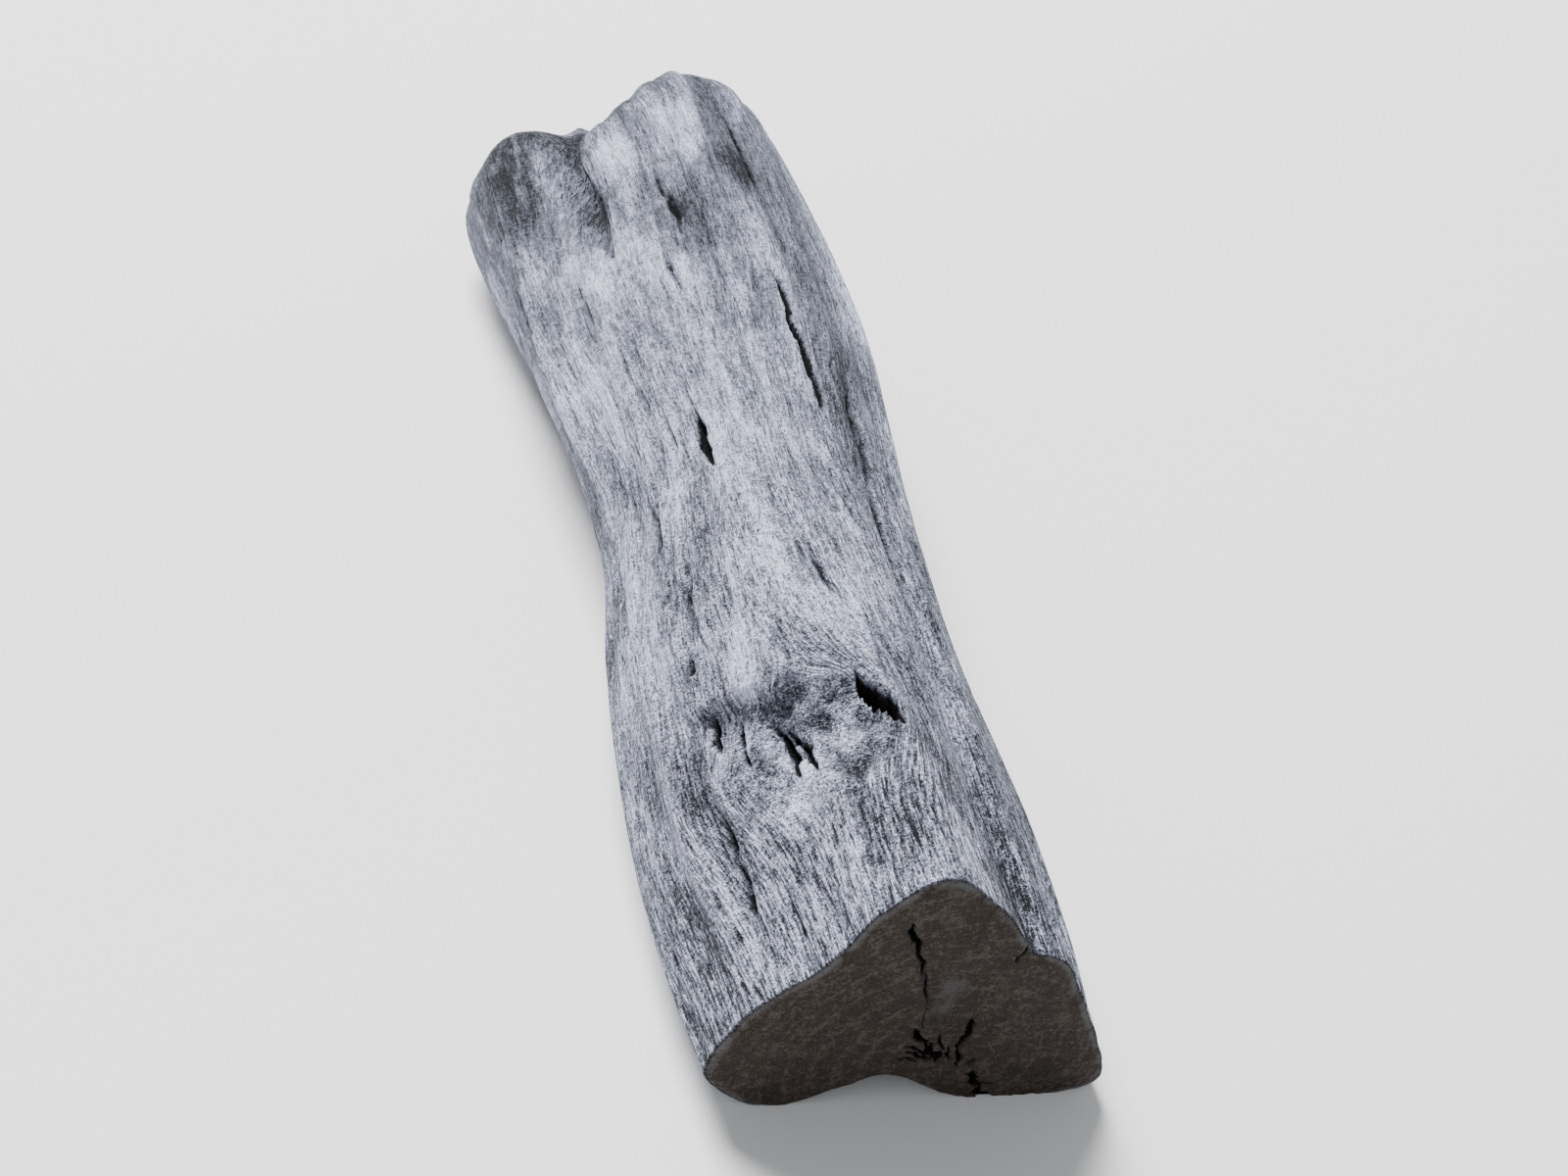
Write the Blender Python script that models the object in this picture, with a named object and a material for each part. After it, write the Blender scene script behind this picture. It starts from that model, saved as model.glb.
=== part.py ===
"""A stick of white charcoal, lying on its side.

It grew as one piece of wood and was charred as one piece, so it is one closed solid. It lies along
+Y, with its cut face at the front, its forked end at the back and its knot on top near the front.

The skin is drawn through seven outlines. Seventeen ribs run along the stick and join their points, so
a place on the skin is a rib number, which may have a fraction, and a distance along the stick. Swellings
and hollows move the skin in and out. Splits, pits and the star of cracks round the pith are cut out last.
"""

import math

import bmesh
import bpy
import numpy as np
from mathutils import Vector

MM = 0.001

# Driving dimensions, in millimetres
LAST_OUTLINE = 208.0     # distance from the cut face to the last outline
END_DEPTH = 14.0         # length over which the far end rounds off
END_BLUNTNESS = 0.5      # 1 is a round end, and less is a blunter one
SETTLE = 0.7             # how far the lowest places are worn flat
RIM = 0.5                # worn edge round the cut face
FACE_MIDDLE = (6.0, 16.0)
FACE_DEPTH_OF_HEART = 40.0

# How fine the solid is
FACES_PER_RIB = 5
SIDE_STOPS = (3.0, 24.0, 58.0, 194.0)
SIDE_GAPS = (3.5, 3.1, 5.44)
END_STEPS = 6

# Outlines across the stick, as (right, up), anticlockwise from its right corner. Each point is a rib:
# corner, flank, shoulder, shoulder top, notch, crest's right, crest, brow, upper slope, lower slope,
# upper left, left tip, left foot, left of the arch, arch, right of the arch, right sole
CUT_FACE = [(35.2, 3.5), (31.5, 12.5), (26, 21), (21, 29), (14.3, 32.6), (9, 39), (-1.5, 46.2), (-8, 40),
            (-12, 30.5), (-17, 24.5), (-21.6, 16), (-21.8, 7), (-12, 0), (-3.5, 3.8), (3.5, 6.3),
            (14.5, 0.8), (27, 0)]
FRONT = [(34, 4.5), (31.5, 13.5), (27, 22.5), (20.5, 30), (13.5, 35), (6.5, 41), (-2.5, 45.5), (-9.5, 41.5),
         (-15.5, 33.5), (-21, 26), (-25, 17), (-24.5, 7), (-14.5, 0.3), (-4.5, 4.5), (3.5, 6.5),
         (13.5, 2), (26, 0.2)]
KNOT = [(32, 6.5), (30, 15), (26, 23.5), (20, 31), (13, 37), (6, 42), (-3, 45), (-12, 42),
        (-19, 35), (-23.5, 26.5), (-25.8, 18), (-24.5, 9), (-15.5, 2.5), (-5.5, 4), (3.5, 5),
        (13, 3), (24, 1.8)]
WAIST = [(29, 8), (29.3, 17), (26.8, 25), (21, 31.5), (14, 35.5), (7, 38), (-1, 38.8), (-9, 37),
         (-15.5, 32.5), (-20.5, 26.5), (-23.3, 18.5), (-22, 10.5), (-14.5, 4.5), (-5, 4), (3.5, 4),
         (13, 3.5), (22.5, 3)]
MIDDLE = [(29.5, 9), (31, 18), (29.5, 26.5), (24, 33), (17, 37), (8.5, 39), (-0.5, 38.5), (-9.5, 36.5),
          (-17.5, 32.5), (-24.5, 27), (-29, 19), (-27.5, 10), (-18.5, 3.5), (-6.5, 2.5), (3, 2),
          (13.5, 2), (23, 3)]
FORK = [(29, 9), (30.5, 18), (28.8, 26.5), (23.5, 34), (16, 38), (8, 39), (0, 37), (-8, 33.5),
        (-14.5, 28.5), (-24.5, 29), (-32.5, 23.5), (-34.5, 13), (-26, 3), (-13, 0.6), (1, 0),
        (13, 0.4), (24, 2)]
FAR_END = [(26, 9.5), (27.5, 18.5), (25.5, 27.5), (20.5, 34.5), (14, 38), (7, 38.5), (-0.5, 35.5),
           (-8, 30.5), (-14, 24.5), (-24, 27.5), (-33.5, 23.5), (-36, 14), (-28.5, 5.5), (-15, 4),
           (-2, 1.5), (11, 1.5), (22, 3.5)]
STATIONS = np.array([0.0, 30.0, 58.0, 95.0, 140.0, 180.0, LAST_OUTLINE])
OUTLINES = np.array([CUT_FACE, FRONT, KNOT, WAIST, MIDDLE, FORK, FAR_END])
RIBS = len(CUT_FACE)

# Swellings and hollows, as rib, distance along, width in ribs, length, and how far out they push
SWELLINGS = (
    (6.9, 44.0, 1.7, 9.0, 1.3),        # the slope of healed wood behind the knot
    (7.2, 28.5, 1.1, 6.5, -1.9),       # the knot's hollow
    (8.4, 37.0, 0.5, 5.0, -0.8),       # its left corner
    (5.3, 24.0, 0.6, 9.0, 0.7),        # the ridge beside the hole
    (3.9, 34.0, 0.35, 44.0, -0.9),     # the groove down from the face's notch
    (8.9, 16.0, 0.4, 16.0, -0.7),      # the dark furrow in front of the knot
    (8.45, 66.0, 0.35, 22.0, -0.7),    # the furrow behind it
    (4.6, 118.0, 0.5, 22.0, -0.8),     # the sunken wood along the long split
    (5.6, 150.0, 1.2, 30.0, 0.6),      # the far half's back
    (0.7, 100.0, 0.9, 50.0, -0.8),     # a long flat on the right flank
    (1.8, 150.0, 0.7, 28.0, 0.8),
    (10.9, 120.0, 0.8, 36.0, -0.9),    # a dip in the left flank
    (11.6, 66.0, 0.7, 20.0, 0.8),
    (13.6, 100.0, 0.9, 45.0, -1.0),    # the underside's hollow
    (15.4, 140.0, 0.7, 30.0, 0.6),
)
# Flutes round the stick, as waves in a turn, height, turn at the cut face and turn for each millimetre
FLUTES = ((9, 0.36, 0.4, 0.029), (14, 0.30, 2.1, -0.021), (23, 0.24, 1.3, 0.017))
# The crease between the two arms of the fork, as distance along and rib, then its width and depth
CREASE = np.array([(146.0, 7.85), (165.0, 8.15), (178.0, 8.45), (190.0, 8.65), (208.0, 8.7)])
CREASE_FULL = 192.0      # from this distance along it has its full depth
CREASE_WIDTH = 0.4
CREASE_DEPTH = 4.8
# How far past the last outline the far end goes, as (right, reach), from the side arm to the long arm
END_REACH = np.array([(-36, -4.0), (-26, 0.5), (-17, -0.5), (-11, 5.0), (-4, 8.5), (1, 13.0), (8, 14.5),
                      (18, 12.0), (29, 5.0)])
REACH_STARTS = 150.0

# Splits along the grain, as (rib, along) at both ends, width and depth
SPLITS = (
    ((4.42, 100.0), (4.84, 127.0), 2.7, 5.0),      # the long deep split over the right shoulder
    ((4.78, 121.0), (4.92, 140.0), 1.6, 2.6),
    ((7.24, 87.0), (7.42, 103.0), 2.3, 3.4),
    ((6.5, 155.0), (6.66, 171.0), 1.8, 2.8),
    ((6.56, 133.0), (6.64, 149.0), 1.3, 2.0),
    ((5.95, 48.0), (6.14, 64.0), 1.3, 2.2),
    ((6.22, 52.0), (6.34, 66.0), 1.1, 1.8),
    ((8.38, 47.0), (8.1, 68.0), 2.1, 3.2),
    ((8.42, 68.0), (8.74, 92.0), 1.4, 2.2),
    ((3.86, 70.0), (3.66, 109.0), 1.3, 2.0),
    ((8.98, 9.0), (9.05, 30.0), 2.0, 2.8),
    ((2.3, 150.0), (2.45, 186.0), 1.5, 2.6),       # splits on the right flank
    ((1.5, 96.0), (1.62, 138.0), 1.5, 2.6),
    ((0.75, 40.0), (0.9, 74.0), 1.3, 2.2),
    ((10.6, 92.0), (10.9, 132.0), 1.6, 2.6),       # on the left flank
    ((11.2, 52.0), (11.3, 78.0), 1.2, 2.0),
    ((13.9, 66.0), (14.1, 124.0), 2.0, 3.4),       # and underneath
    ((15.5, 128.0), (15.6, 160.0), 1.4, 2.2),
    ((12.6, 150.0), (12.8, 172.0), 1.3, 2.2),
)
# Short cracks across the knot, in the same form
KNOT_CRACKS = (
    ((7.55, 35.0), (7.34, 22.5), 1.5, 3.0),
    ((7.28, 33.5), (7.0, 23.0), 1.3, 2.6),
    ((7.3, 29.0), (7.02, 30.5), 1.2, 2.0),
    ((8.56, 41.5), (8.66, 34.0), 1.3, 2.4),
    ((8.16, 40.0), (8.36, 31.0), 1.2, 2.4),
)
# The hole beside the knot, in the same form
KNOT_HOLE = ((6.12, 35.0), (5.5, 25.8), 4.0, 7.5)
# A string of small pits along the right shoulder, as (rib, along)
PITS_START = (3.84, 44.0)
PITS_END = (3.94, 66.0)
PIT_COUNT = 4
PIT_LENGTH = 3.4
PIT_WIDTH = 1.3
PIT_DEPTH = 1.6
# The cut face's cracks, as (right, up) at both ends, width and depth
FACE_CRACKS = (
    ((9.4, 9.4), (3.3, 16.6), 1.9, 4.5),
    ((9.2, 9.9), (2.8, 12.2), 1.2, 3.0),
    ((12.3, 7.9), (11.0, 12.6), 1.0, 3.0),
    ((11.1, 11.8), (11.5, 18.8), 0.9, 2.6),
    ((9.6, 11.0), (7.2, 16.0), 0.6, 1.6),
    ((14.0, 7.6), (14.6, 10.6), 0.7, 1.6),
    ((14.6, 6.2), (16.2, 8.0), 0.7, 1.6),
    ((16.4, 4.6), (19.6, 3.9), 0.7, 1.6),
    ((4.6, 20.0), (-1.4, 32.4), 1.1, 3.0),         # the long crack up to the crest
    ((-1.0, 31.0), (-4.0, 38.4), 1.2, 3.2),
)
# The notch under the pith, where a split opens to the underside
FACE_NOTCH = ((14.6, 6.4), (20.2, -2.0), 1.5, 8.0)


def smooth_step(low, high, value):
    """0 up to low, 1 from high on, and an even curve between them."""
    t = min(max((value - low) / (high - low), 0.0), 1.0)
    return t * t * (3.0 - 2.0 * t)


def bell(offset, width):
    """1 at no offset, and near 0 at twice the width."""
    return math.exp(-(offset / width) ** 2)


def rib_gap(rib, other):
    """The shortest way round the stick from one rib to another, in ribs."""
    return (rib - other + RIBS / 2.0) % RIBS - RIBS / 2.0


def lean(station):
    """How the ribs move from one outline to the next, for each millimetre along."""
    before = max(station - 1, 0)
    after = min(station + 1, len(STATIONS) - 1)
    return (OUTLINES[after] - OUTLINES[before]) / (STATIONS[after] - STATIONS[before])


def outline(along):
    """The ribs' places across the stick at a distance along it."""
    after = int(np.clip(np.searchsorted(STATIONS, along), 1, len(STATIONS) - 1))
    before = after - 1
    span = STATIONS[after] - STATIONS[before]
    t = (along - STATIONS[before]) / span
    start = OUTLINES[before] * (1 + 2 * t) * (1 - t) ** 2 + lean(before) * span * t * (1 - t) ** 2
    end = OUTLINES[after] * t * t * (3 - 2 * t) + lean(after) * span * t * t * (t - 1)
    return start + end


def round_curve(points, rib):
    """The place of a rib, or between two ribs, on the smooth closed curve through them."""
    first = int(math.floor(rib))
    t = rib - first
    a, b, c, d = (points[(first + step) % RIBS] for step in (-1, 0, 1, 2))
    return b + 0.5 * t * (c - a + t * (2 * a - 5 * b + 4 * c - d + t * (3 * b - 3 * c + d - a)))


def heart(along):
    """The line that the skin is drawn round, as (right, up)."""
    middle = outline(along).mean(axis=0)
    t = smooth_step(0.0, FACE_DEPTH_OF_HEART, along)
    return np.array(FACE_MIDDLE) * (1 - t) + middle * t


def crease(rib, along):
    """How deep the crease between the fork's arms is."""
    line = np.interp(along, CREASE[:, 0], CREASE[:, 1])
    depth = CREASE_DEPTH * smooth_step(CREASE[0, 0], CREASE_FULL, along)
    return depth * bell(rib_gap(rib, line), CREASE_WIDTH)


def relief(rib, along):
    """How far the skin stands out from the outlines."""
    height = -crease(rib, along)
    for at_rib, at, width, length, push in SWELLINGS:
        height += push * bell(rib_gap(rib, at_rib), width) * bell(along - at, length)
    for waves, flute, turn, twist in FLUTES:
        height += flute * math.cos(2 * math.pi * waves * rib / RIBS + turn + twist * along)
    return height * smooth_step(-6.0, 10.0, along)


def end_reach(right):
    """How far past the last outline the far end goes at that distance to the right."""
    after = int(np.clip(np.searchsorted(END_REACH[:, 0], right), 1, len(END_REACH) - 1))
    (near, low), (far, high) = END_REACH[after - 1:after + 1]
    return low + (high - low) * smooth_step(near, far, right)


def skin(rib, along, share=1.0):
    """A point of the stick in millimetres: at share 1 it is on the skin, and at 0 in the heart."""
    centre = heart(along)
    spoke = round_curve(outline(along), rib) - centre
    spoke *= 1 + relief(rib, along) / np.hypot(*spoke)
    right, up = centre + share * spoke
    reach = end_reach(right) * smooth_step(REACH_STARTS, LAST_OUTLINE, along)
    return Vector((right, along + reach, max(up - SETTLE, 0.0)))


def rings():
    """The rings of the skin, from the middle of the cut face to the middle of the far end."""
    stops = [(0.0, 0.45), (0.0, 1 - 0.6 * RIM / 20), (RIM, 1.0)]
    for start, end, gap in zip(SIDE_STOPS, SIDE_STOPS[1:], SIDE_GAPS):
        steps = round((end - start) / gap)
        stops += [(start + (end - start) * step / steps, 1.0) for step in range(steps)]
    for step in range(END_STEPS):
        turn = math.pi / 2 * step / END_STEPS
        along = LAST_OUTLINE - END_DEPTH * (1 - math.sin(turn))
        stops.append((along, math.cos(turn) ** END_BLUNTNESS))
    return stops


def build_body():
    """The whole stick before it is cut: a ball whose rings are moved to the rings of the skin."""
    stops = rings()
    around = RIBS * FACES_PER_RIB
    body = bmesh.new()
    bmesh.ops.create_uvsphere(body, u_segments=around, v_segments=len(stops) + 1, radius=1.0)
    for vertex in body.verts:
        polar = math.acos(min(max(vertex.co.z, -1.0), 1.0))
        ring = round(polar / math.pi * (len(stops) + 1)) - 1
        column = round(math.atan2(vertex.co.y, vertex.co.x) / (2 * math.pi) * around) % around
        if ring < 0:
            vertex.co = skin(0.0, 0.0, 0.0) * MM
        elif ring == len(stops):
            vertex.co = skin(0.0, LAST_OUTLINE, 0.0) * MM
        else:
            vertex.co = skin(column / FACES_PER_RIB, *stops[ring]) * MM
    return object_from(body, "charcoal_stick")


def object_from(shape, name):
    """An object made from a closed shape, in the scene, with its faces turned out."""
    if shape.calc_volume(signed=True) < 0:
        bmesh.ops.reverse_faces(shape, faces=shape.faces)
    mesh = bpy.data.meshes.new(name)
    shape.to_mesh(mesh)
    shape.free()
    made = bpy.data.objects.new(name, mesh)
    bpy.context.scene.collection.objects.link(made)
    return made


def blade(name, place, width, depth, bow=0.0):
    """A pointed blade that cuts a crack. place gives its middle line: a point, its side and its outside."""
    shape = bmesh.new()
    bmesh.ops.create_uvsphere(shape, u_segments=4, v_segments=6, radius=1.0)
    for vertex in shape.verts:
        t = (1 - vertex.co.z) / 2
        point, side, out = place(t)
        sideways = vertex.co.x * width / 2 + bow * width * math.sin(2 * math.pi * t)
        vertex.co = (point + side * sideways + out * (vertex.co.y * depth)) * MM
    return object_from(shape, name)


def skin_blade(name, start, end, width, depth):
    """A blade that follows the skin from one (rib, along) to another."""
    def place(t):
        rib, along = (a + t * (b - a) for a, b in zip(start, end))
        point = skin(rib, along)
        centre = heart(along)
        out = (point - Vector((centre[0], point.y, centre[1]))).normalized()
        run = (skin(*end) - skin(*start)).normalized()
        return point, run.cross(out).normalized(), out
    return blade(name, place, width, depth, bow=0.25)


def face_blade(name, start, end, width, depth):
    """A blade that cuts a crack into the cut face from one (right, up) to another."""
    run = Vector((end[0] - start[0], 0.0, end[1] - start[1]))
    out = Vector((0.0, -1.0, 0.0))
    side = run.cross(out).normalized()

    def place(t):
        return Vector((start[0], 0.0, start[1] - SETTLE)) + run * t, side, out
    return blade(name, place, width, depth)


def blades():
    """Every blade that is cut out of the stick."""
    made = []
    for number, (start, end, width, depth) in enumerate(SPLITS + KNOT_CRACKS):
        made.append(skin_blade(f"split_blade_{number}", start, end, width, depth))
    made.append(skin_blade("knot_hole_blade", *KNOT_HOLE))
    for number in range(PIT_COUNT):
        t = number / (PIT_COUNT - 1)
        rib, along = (a + t * (b - a) for a, b in zip(PITS_START, PITS_END))
        ends = ((rib, along - PIT_LENGTH / 2), (rib, along + PIT_LENGTH / 2))
        made.append(skin_blade(f"pit_blade_{number}", *ends, PIT_WIDTH, PIT_DEPTH))
    for number, (start, end, width, depth) in enumerate(FACE_CRACKS + (FACE_NOTCH,)):
        made.append(face_blade(f"face_blade_{number}", start, end, width, depth))
    return made


def cut(body, cutters):
    """Cuts the blades out of the stick."""
    group = bpy.data.collections.new("blades")
    bpy.context.scene.collection.children.link(group)
    for cutter in cutters:
        bpy.context.scene.collection.objects.unlink(cutter)
        group.objects.link(cutter)
        cutter.hide_render = True
        cutter.display_type = "WIRE"
    boolean = body.modifiers.new("cracks", "BOOLEAN")
    boolean.operation = "DIFFERENCE"
    boolean.solver = "EXACT"
    boolean.operand_type = "COLLECTION"
    boolean.collection = group


def stand_on_origin(objects, body):
    """Moves everything so that the origin is under the middle of the stick."""
    corners = [vertex.co for vertex in body.data.vertices]
    middle = [(min(c[axis] for c in corners) + max(c[axis] for c in corners)) / 2 for axis in (0, 1)]
    for made in objects:
        made.location = (-middle[0], -middle[1], 0.0)


def charcoal_material():
    """Dull grey ash over black charcoal."""
    material = bpy.data.materials.new("ashy_charcoal")
    material.use_nodes = True
    shader = material.node_tree.nodes["Principled BSDF"]
    shader.inputs["Base Color"].default_value = (0.21, 0.22, 0.24, 1.0)
    shader.inputs["Roughness"].default_value = 0.82
    shader.inputs["Metallic"].default_value = 0.0
    return material


def main():
    for old in list(bpy.data.objects):
        bpy.data.objects.remove(old)
    body = build_body()
    cutters = blades()
    cut(body, cutters)
    stand_on_origin([body] + cutters, body)
    body.data.materials.append(charcoal_material())
    body.data.shade_smooth()
    body.data.set_sharp_from_angle(angle=math.radians(40))


main()
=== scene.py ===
# %% [markdown]
# # A stick of white charcoal
# White charcoal is a whole branch, charred slowly and then pulled out of the kiln while it glows and
# smothered with damp ash. The bark is gone. What is left is a hard, black stick with a skin of pale
# grey ash, full of lengthwise fibres, and a brown-black cut face with a star of cracks round the pith.
# The frame holds the stick as one coarse solid. This lesson makes one fine piece of the same form to
# stand in its place, and then its finish, the floor, the light and the camera.

# %% Load the frame
import math

import bmesh
import bpy
import numpy as np
from mathutils import Matrix, Vector


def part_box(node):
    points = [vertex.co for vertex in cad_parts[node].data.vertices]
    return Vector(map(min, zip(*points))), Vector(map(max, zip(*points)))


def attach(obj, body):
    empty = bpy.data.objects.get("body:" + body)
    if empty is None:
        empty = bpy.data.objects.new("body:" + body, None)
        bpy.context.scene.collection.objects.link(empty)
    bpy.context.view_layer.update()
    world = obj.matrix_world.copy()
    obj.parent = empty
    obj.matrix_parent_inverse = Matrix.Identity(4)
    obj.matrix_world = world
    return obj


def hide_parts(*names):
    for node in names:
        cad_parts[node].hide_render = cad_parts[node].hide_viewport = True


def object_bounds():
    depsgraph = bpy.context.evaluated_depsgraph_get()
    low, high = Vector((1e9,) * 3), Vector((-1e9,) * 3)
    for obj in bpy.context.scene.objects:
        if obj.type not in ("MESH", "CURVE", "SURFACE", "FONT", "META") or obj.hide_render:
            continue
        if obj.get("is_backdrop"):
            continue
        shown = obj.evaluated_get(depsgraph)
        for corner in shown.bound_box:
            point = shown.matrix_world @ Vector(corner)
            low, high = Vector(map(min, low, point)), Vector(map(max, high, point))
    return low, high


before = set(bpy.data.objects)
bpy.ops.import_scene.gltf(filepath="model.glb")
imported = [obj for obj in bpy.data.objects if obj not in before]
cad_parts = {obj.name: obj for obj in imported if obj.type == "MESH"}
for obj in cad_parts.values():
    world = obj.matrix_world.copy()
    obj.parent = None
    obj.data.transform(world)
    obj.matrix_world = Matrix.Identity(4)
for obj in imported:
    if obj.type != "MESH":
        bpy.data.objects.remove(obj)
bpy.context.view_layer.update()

MM = 0.001
NODE = "charcoal_stick"
node_low, node_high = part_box(NODE)
print("the solid is", [round(side / MM, 1) for side in node_high - node_low], "mm")

# %% [markdown]
# ## The form
# A branch has no straight line in it, so it is described by outlines across it. Seventeen ribs run
# along the stick, and each outline says where they are, as (right, up) in millimetres. A place on the
# skin is then a rib number, which may have a fraction, and a distance along the stick from the cut
# face. These are the solid's own outlines, so the fine piece has the same form.

# %% Outlines across the stick
LAST_OUTLINE = 208.0
CUT_FACE = [(35.2, 3.5), (31.5, 12.5), (26, 21), (21, 29), (14.3, 32.6), (9, 39), (-1.5, 46.2), (-8, 40),
            (-12, 30.5), (-17, 24.5), (-21.6, 16), (-21.8, 7), (-12, 0), (-3.5, 3.8), (3.5, 6.3),
            (14.5, 0.8), (27, 0)]
FRONT = [(34, 4.5), (31.5, 13.5), (27, 22.5), (20.5, 30), (13.5, 35), (6.5, 41), (-2.5, 45.5), (-9.5, 41.5),
         (-15.5, 33.5), (-21, 26), (-25, 17), (-24.5, 7), (-14.5, 0.3), (-4.5, 4.5), (3.5, 6.5),
         (13.5, 2), (26, 0.2)]
KNOT = [(32, 6.5), (30, 15), (26, 23.5), (20, 31), (13, 37), (6, 42), (-3, 45), (-12, 42),
        (-19, 35), (-23.5, 26.5), (-25.8, 18), (-24.5, 9), (-15.5, 2.5), (-5.5, 4), (3.5, 5),
        (13, 3), (24, 1.8)]
WAIST = [(29, 8), (29.3, 17), (26.8, 25), (21, 31.5), (14, 35.5), (7, 38), (-1, 38.8), (-9, 37),
         (-15.5, 32.5), (-20.5, 26.5), (-23.3, 18.5), (-22, 10.5), (-14.5, 4.5), (-5, 4), (3.5, 4),
         (13, 3.5), (22.5, 3)]
MIDDLE = [(29.5, 9), (31, 18), (29.5, 26.5), (24, 33), (17, 37), (8.5, 39), (-0.5, 38.5), (-9.5, 36.5),
          (-17.5, 32.5), (-24.5, 27), (-29, 19), (-27.5, 10), (-18.5, 3.5), (-6.5, 2.5), (3, 2),
          (13.5, 2), (23, 3)]
FORK = [(29, 9), (30.5, 18), (28.8, 26.5), (23.5, 34), (16, 38), (8, 39), (0, 37), (-8, 33.5),
        (-14.5, 28.5), (-24.5, 29), (-32.5, 23.5), (-34.5, 13), (-26, 3), (-13, 0.6), (1, 0),
        (13, 0.4), (24, 2)]
FAR_END = [(26, 9.5), (27.5, 18.5), (25.5, 27.5), (20.5, 34.5), (14, 38), (7, 38.5), (-0.5, 35.5),
           (-8, 30.5), (-14, 24.5), (-24, 27.5), (-33.5, 23.5), (-36, 14), (-28.5, 5.5), (-15, 4),
           (-2, 1.5), (11, 1.5), (22, 3.5)]
STATIONS = np.array([0.0, 30.0, 58.0, 95.0, 140.0, 180.0, LAST_OUTLINE])
OUTLINES = np.array([CUT_FACE, FRONT, KNOT, WAIST, MIDDLE, FORK, FAR_END])
RIBS = len(CUT_FACE)
RIB_GAP = 8.3      # millimetres from one rib to the next
print(RIBS, "ribs through", len(STATIONS), "outlines")

# %% [markdown]
# Seven outlines are too few for a smooth stick, so curves run through them. Along the stick, each rib
# leans from one outline to the next as its neighbours do. Round the stick, a second curve joins the
# ribs. An even step and a bell draw everything that is only in one place, such as a swelling.

# %% Curves through the outlines
def smooth_step(low, high, value):
    """0 up to low, 1 from high on, and an even curve between them."""
    t = np.clip((value - low) / (high - low), 0.0, 1.0)
    return t * t * (3.0 - 2.0 * t)


def bell(offset, width):
    """1 at no offset, and near 0 at twice the width."""
    return np.exp(-(offset / width) ** 2)


def rib_gap(rib, other):
    """The shortest way round the stick from one rib to another, in ribs."""
    return (rib - other + RIBS / 2.0) % RIBS - RIBS / 2.0


def lean(station):
    """How the ribs move from one outline to the next, for each millimetre along."""
    before = max(station - 1, 0)
    after = min(station + 1, len(STATIONS) - 1)
    return (OUTLINES[after] - OUTLINES[before]) / (STATIONS[after] - STATIONS[before])


def outline(along):
    """The ribs' places across the stick at a distance along it."""
    after = int(np.clip(np.searchsorted(STATIONS, along), 1, len(STATIONS) - 1))
    before = after - 1
    span = STATIONS[after] - STATIONS[before]
    t = (along - STATIONS[before]) / span
    start = OUTLINES[before] * (1 + 2 * t) * (1 - t) ** 2 + lean(before) * span * t * (1 - t) ** 2
    end = OUTLINES[after] * t * t * (3 - 2 * t) + lean(after) * span * t * t * (t - 1)
    return start + end


def round_curve(points, rib):
    """Places on the smooth closed curve through the ribs, for a whole row of rib numbers."""
    first = np.floor(rib).astype(int)
    t = (rib - first)[:, None]
    a, b, c, d = (points[(first + step) % RIBS] for step in (-1, 0, 1, 2))
    return b + 0.5 * t * (c - a + t * (2 * a - 5 * b + 4 * c - d + t * (3 * b - 3 * c + d - a)))


print("at the knot the stick is", round(float(np.ptp(outline(44.0)[:, 0])), 1), "mm wide")

# %% [markdown]
# ## How fine the piece is
# Blender's ball, `create_uvsphere`, is already what a closed stick needs: rings from pole to pole.
# One pole becomes the middle of the cut face and the other the middle of the far end, and every ring
# between them is moved to its place. Rings are close together over the knot, where most of the detail
# is, and further apart along the plain far half.

# %% Columns round the stick
RIB_STOPS = (0.0, 3.2, 10.8, 17.0)
COLUMNS_PER_RIB = (18, 37, 18)      # the most on the upper side, which the photo shows
ribs = []
for start, end, per_rib in zip(RIB_STOPS, RIB_STOPS[1:], COLUMNS_PER_RIB):
    ribs += list(np.linspace(start, end, round((end - start) * per_rib), endpoint=False))
rib = np.array(ribs)
columns = len(rib)
print(columns, "columns round the stick")

# %% Rings along the stick
FACE_RINGS = 54
RIM_SHARE = 0.988                    # the outermost ring of the cut face, as a share of the outline
END_DEPTH = 14.0                     # the far end rounds over in the last millimetres
SIDE_STOPS = (0.4, 2.4, 20.0, 58.0, LAST_OUTLINE - END_DEPTH)
SIDE_GAPS = (0.5, 1.2, 0.95, 1.7)
END_EDGE_RINGS = 9
END_FLAT_RINGS = 12
END_FLAT_SHARES = (0.66, 0.03)
END_TURN = math.pi / 3
END_BLUNTNESS = 0.5
END_FADE = (0.72, 0.97)              # shares of the outline where the end turns into the side
HALFWAY = 100.0

stops = [(0.0, RIM_SHARE * (ring + 0.5) / (FACE_RINGS - 0.5)) for ring in range(FACE_RINGS)]
for start, end, gap in zip(SIDE_STOPS, SIDE_STOPS[1:], SIDE_GAPS):
    steps = round((end - start) / gap)
    stops += [(start + (end - start) * step / steps, 1.0) for step in range(steps)]
edge_shares = np.cos(np.linspace(0.0, END_TURN, END_EDGE_RINGS)) ** END_BLUNTNESS
for share in [*edge_shares, *np.linspace(*END_FLAT_SHARES, END_FLAT_RINGS)]:
    inward = math.sqrt(1.0 - share ** (2 / END_BLUNTNESS))
    stops.append((LAST_OUTLINE - END_DEPTH * (1 - inward), share))
stops = np.array(stops)
along = stops[:, 0][:, None]
on_face = np.arange(len(stops)) < FACE_RINGS
on_end = ((1 - smooth_step(*END_FADE, stops[:, 1])) * (along[:, 0] > HALFWAY))[:, None]
print(len(stops), "rings of", columns, "points, about", 2 * columns * len(stops), "triangles")

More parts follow.
